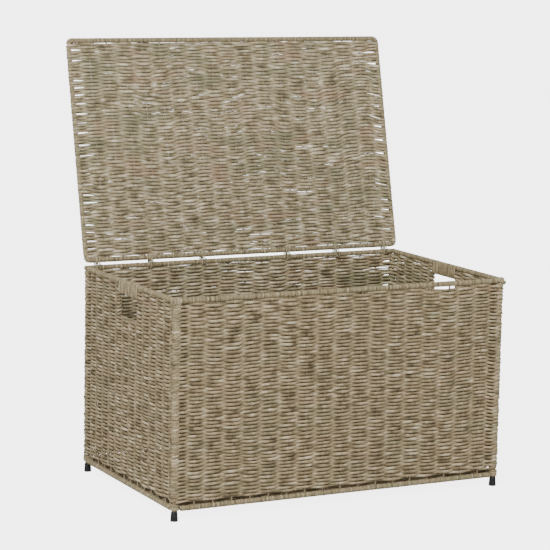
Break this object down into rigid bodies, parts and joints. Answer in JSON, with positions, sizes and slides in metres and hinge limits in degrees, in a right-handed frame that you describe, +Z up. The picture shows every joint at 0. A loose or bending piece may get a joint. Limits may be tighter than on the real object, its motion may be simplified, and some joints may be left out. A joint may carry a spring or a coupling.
{
  "type": "wicker storage trunk",
  "caption": "Rectangular seagrass storage trunk on a welded wire frame, with capped feet, hand holes in the ends and a flat lid tied on along its back rail.",
  "frame": {"origin": "centre of the bottom of the box round the trunk with its lid open as stored, on the floor; the trunk's own centre is 54.7 mm in front of it", "axes": "+X to the right along the front, +Y from the front to the back where the lid is hinged, +Z up"},
  "size_m": [0.765, 0.5742, 0.923],
  "materials": {
    "seagrass_weave": "twisted seagrass cord, twined in rows, matt with a slight straw sheen",
    "seagrass_wrap": "twisted seagrass cord wound tightly round the frame wire",
    "tie_cord": "thin seagrass cord, knotted",
    "frame_wire": "drawn steel wire, brown lacquer over the welds",
    "foot_cap": "moulded black plastic cap with fine upright ribs, satin"
  },
  "bodies": {
    "trunk": {"foot_front_left": "foot_cap", "foot_front_right": "foot_cap", "foot_back_left": "foot_cap", "foot_back_right": "foot_cap", "wire_front": "frame_wire", "wire_back": "frame_wire", "wire_left": "frame_wire", "wire_right": "frame_wire", "wire_floor": "frame_wire", "post_front_left": "frame_wire", "post_front_right": "frame_wire", "post_back_left": "frame_wire", "post_back_right": "frame_wire", "handle_bar_left": "frame_wire", "handle_bar_right": "frame_wire", "wrap_post_front_left": "seagrass_wrap", "wrap_post_front_right": "seagrass_wrap", "wrap_post_back_left": "seagrass_wrap", "wrap_post_back_right": "seagrass_wrap", "wrap_top_front": "seagrass_wrap", "wrap_top_back": "seagrass_wrap", "wrap_top_left_front": "seagrass_wrap", "wrap_top_left_back": "seagrass_wrap", "wrap_top_right_front": "seagrass_wrap", "wrap_top_right_back": "seagrass_wrap", "wrap_bottom_front": "seagrass_wrap", "wrap_bottom_back": "seagrass_wrap", "wrap_bottom_left": "seagrass_wrap", "wrap_bottom_right": "seagrass_wrap", "handle_grip_left": "seagrass_wrap", "handle_grip_right": "seagrass_wrap", "weave_front": "seagrass_weave", "weave_back": "seagrass_weave", "weave_left": "seagrass_weave", "weave_right": "seagrass_weave", "weave_floor": "seagrass_weave", "hinge_tie_1": "tie_cord", "hinge_tie_2": "tie_cord", "hinge_tie_3": "tie_cord", "hinge_tie_4": "tie_cord", "hinge_tie_5": "tie_cord", "hinge_tie_6": "tie_cord"},
    "lid": {"lid_wire": "frame_wire", "lid_wrap_front": "seagrass_wrap", "lid_wrap_back": "seagrass_wrap", "lid_wrap_left": "seagrass_wrap", "lid_wrap_right": "seagrass_wrap", "lid_weave": "seagrass_weave"}
  },
  "joints": [
    {"name": "lid_hinge", "type": "hinge", "parent": "trunk", "child": "lid", "pos_m": [0, 0.17231, 0.4585], "axis": [1, 0, 0], "range_deg": [0, 103.9]}
  ]
}
